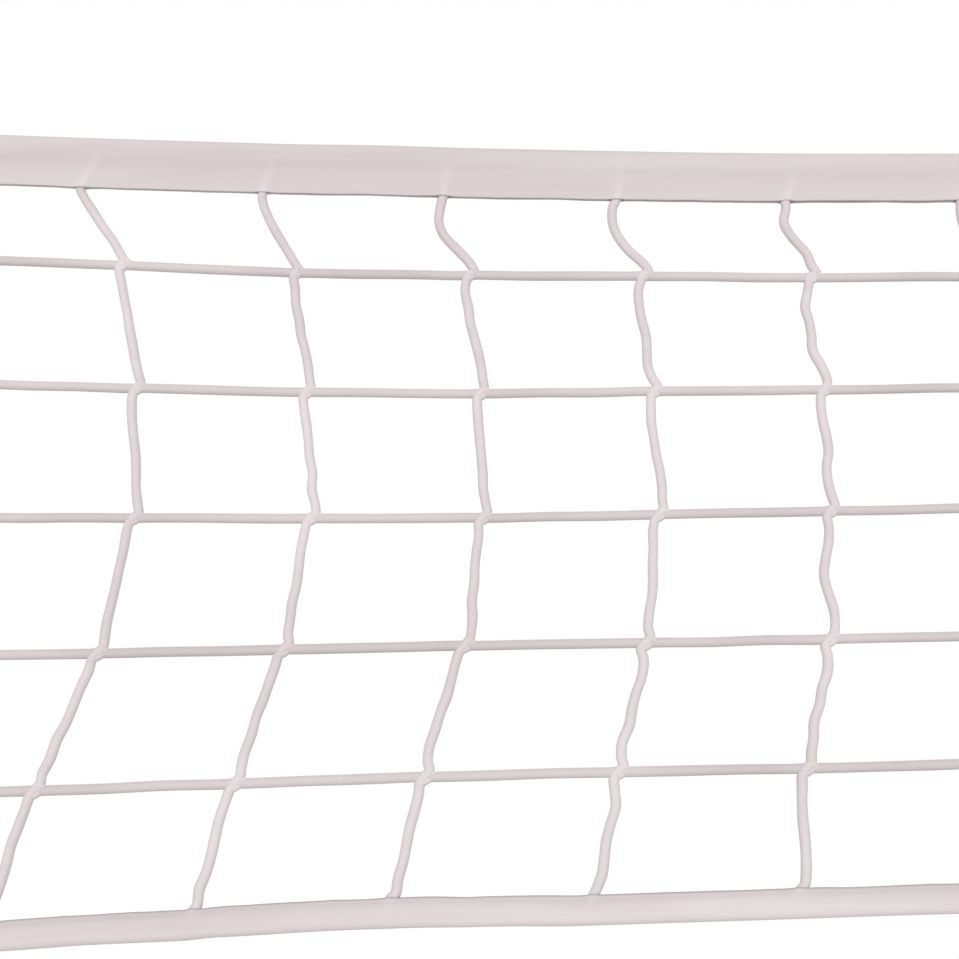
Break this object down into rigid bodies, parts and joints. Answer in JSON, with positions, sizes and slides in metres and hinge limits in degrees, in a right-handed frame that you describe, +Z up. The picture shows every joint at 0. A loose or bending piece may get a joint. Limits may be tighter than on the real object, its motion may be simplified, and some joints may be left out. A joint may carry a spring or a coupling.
{
  "type": "volleyball net on poles",
  "caption": "Knotted cord volleyball net with folded head and foot tapes, held between two free-standing wheeled posts with sliding, lever-clamped masts.",
  "frame": {"origin": "on the floor, midway between the two posts", "axes": "+X along the net to the right as a player facing it from the front sees it, +Y away from that player, +Z up"},
  "size_m": [6.496, 0.6, 2.516],
  "materials": {
    "cord": "smooth knotted cord",
    "tape": "folded woven tape",
    "rope": "braided rope",
    "rod_wood": "bare dowel",
    "sleeve_metal": "pressed",
    "plated_steel": "zinc plated",
    "tube_paint": "powder coated",
    "clamp_metal": "cast and coated",
    "black_plastic": "moulded",
    "base_iron": "coated casting",
    "pad_rubber": "moulded sheet",
    "hub_plastic": "moulded",
    "tyre_rubber": "ribbed"
  },
  "bodies": {
    "root": {"base_left": "base_iron", "base_right": "base_iron", "floor_pad_left": "pad_rubber", "floor_pad_right": "pad_rubber", "socket_screws": "plated_steel", "post_left": "tube_paint", "post_right": "tube_paint", "post_bush_left": "black_plastic", "post_bush_right": "black_plastic", "clamp_collar_left": "clamp_metal", "clamp_collar_right": "clamp_metal", "clamp_bolt_left": "plated_steel", "clamp_bolt_right": "plated_steel", "clamp_nuts": "plated_steel", "wheel_axles": "plated_steel", "axle_caps": "plated_steel"},
    "net_and_left_mast": {"mast_left": "tube_paint", "mast_foot_left": "black_plastic", "mast_cap_left": "black_plastic", "head_band_left": "plated_steel", "foot_band_left": "plated_steel", "band_screws_left": "plated_steel", "net_mesh": "cord", "head_tape": "tape", "foot_tape": "tape", "side_tape_left": "tape", "side_tape_right": "tape", "net_rod_left": "rod_wood", "net_rod_right": "rod_wood", "head_rope": "rope", "foot_rope": "rope", "rope_sleeves": "sleeve_metal", "tensioner_post_eye": "plated_steel", "tensioner_rope_eye": "plated_steel", "tensioner_nuts": "plated_steel"},
    "right_mast": {"mast_right": "tube_paint", "mast_foot_right": "black_plastic", "mast_cap_right": "black_plastic", "head_band_right": "plated_steel", "foot_band_right": "plated_steel", "band_screws_right": "plated_steel"},
    "barrel": {"tensioner_barrel": "plated_steel"},
    "lever_left": {"clamp_lever_left": "black_plastic", "lever_pin_left": "plated_steel"},
    "lever_right": {"clamp_lever_right": "black_plastic", "lever_pin_right": "plated_steel"},
    "wheel_left_front": {"wheel_hub_left_front": "hub_plastic", "tyre_left_front": "tyre_rubber"},
    "wheel_left_back": {"wheel_hub_left_back": "hub_plastic", "tyre_left_back": "tyre_rubber"},
    "wheel_right_front": {"wheel_hub_right_front": "hub_plastic", "tyre_right_front": "tyre_rubber"},
    "wheel_right_back": {"wheel_hub_right_back": "hub_plastic", "tyre_right_back": "tyre_rubber"}
  },
  "joints": [
    {"name": "left_mast_slide", "type": "slide", "parent": "root", "child": "net_and_left_mast", "axis": [0, 0, 1], "range_m": [-0.43, 0]},
    {"name": "right_mast_slide", "type": "slide", "parent": "root", "child": "right_mast", "axis": [0, 0, 1], "range_m": [-0.43, 0]},
    {"name": "barrel_turn", "type": "hinge", "parent": "net_and_left_mast", "child": "barrel", "pos_m": [2.6, 0, 2.4256], "axis": [1, 0, 0], "continuous": true},
    {"name": "left_lever_swing", "type": "hinge", "parent": "root", "child": "lever_left", "pos_m": [-2.897, -0.0203, 1.33], "axis": [0, 0, -1], "range_deg": [0, 150]},
    {"name": "right_lever_swing", "type": "hinge", "parent": "root", "child": "lever_right", "pos_m": [2.897, -0.0203, 1.33], "axis": [0, 0, 1], "range_deg": [0, 150]},
    {"name": "left_front_wheel_spin", "type": "hinge", "parent": "root", "child": "wheel_left_front", "pos_m": [-3.198, -0.093, 0.058], "axis": [0, 1, 0], "continuous": true},
    {"name": "left_back_wheel_spin", "type": "hinge", "parent": "root", "child": "wheel_left_back", "pos_m": [-3.198, 0.093, 0.058], "axis": [0, 1, 0], "continuous": true},
    {"name": "right_front_wheel_spin", "type": "hinge", "parent": "root", "child": "wheel_right_front", "pos_m": [3.198, -0.093, 0.058], "axis": [0, 1, 0], "continuous": true},
    {"name": "right_back_wheel_spin", "type": "hinge", "parent": "root", "child": "wheel_right_back", "pos_m": [3.198, 0.093, 0.058], "axis": [0, 1, 0], "continuous": true}
  ],
  "couplings": [
    {"joint": "right_mast_slide", "follows": "left_mast_slide", "ratio": 1}
  ]
}
